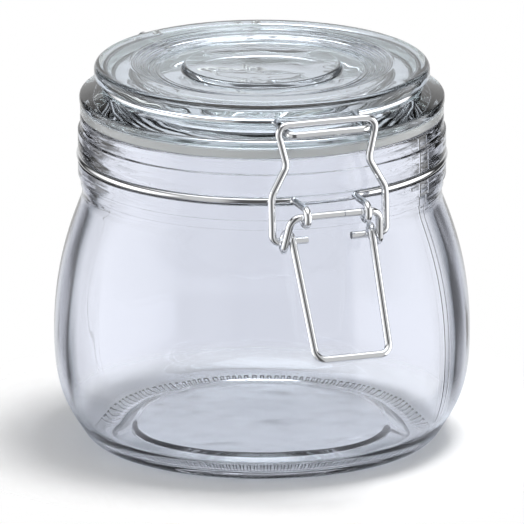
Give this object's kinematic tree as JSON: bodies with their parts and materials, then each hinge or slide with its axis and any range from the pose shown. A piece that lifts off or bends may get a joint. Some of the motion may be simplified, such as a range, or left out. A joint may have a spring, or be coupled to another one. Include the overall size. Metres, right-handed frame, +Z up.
{
  "type": "clip-top jar",
  "caption": "Round-bellied clear glass storage jar with a hinged glass lid, a rubber sealing ring and a bent wire bail clip with a lifting lever.",
  "frame": {"origin": "middle of the foot, on the surface that the jar stands on", "axes": "+Z up along the jar's axis, the clip faces -Y and the hinge +Y"},
  "size_m": [0.11, 0.1276, 0.102],
  "materials": {
    "glass_body": "clear polished soda-lime glass",
    "glass_lid": "clear pressed glass, thicker and slightly greener",
    "ring": "pale translucent rubber",
    "wire": "bright steel wire"
  },
  "bodies": {
    "jar": {"jar": "glass_body", "neck_wire": "wire"},
    "lid": {"lid": "glass_lid", "lid_wire": "wire", "gasket": "ring"},
    "lever": {"lever": "wire"},
    "bail": {"bail": "wire"}
  },
  "joints": [
    {"name": "lid_hinge", "type": "hinge", "parent": "jar", "child": "lid", "pos_m": [0, 0.0536, 0.0772], "axis": [-1, 0, 0], "range_deg": [0, 105]},
    {"name": "lever_lift", "type": "hinge", "parent": "jar", "child": "lever", "pos_m": [0, -0.0562, 0.075], "axis": [-1, 0, 0], "range_deg": [0, 90]},
    {"name": "bail_swing", "type": "hinge", "parent": "lever", "child": "bail", "pos_m": [0, -0.0516, 0.0675], "axis": [1, 0, 0], "range_deg": [0, 130]}
  ],
  "couplings": [
    {"joint": "lever_lift", "follows": "lid_hinge", "ratio": 0.85714},
    {"joint": "bail_swing", "follows": "lid_hinge", "ratio": 1.2381}
  ]
}
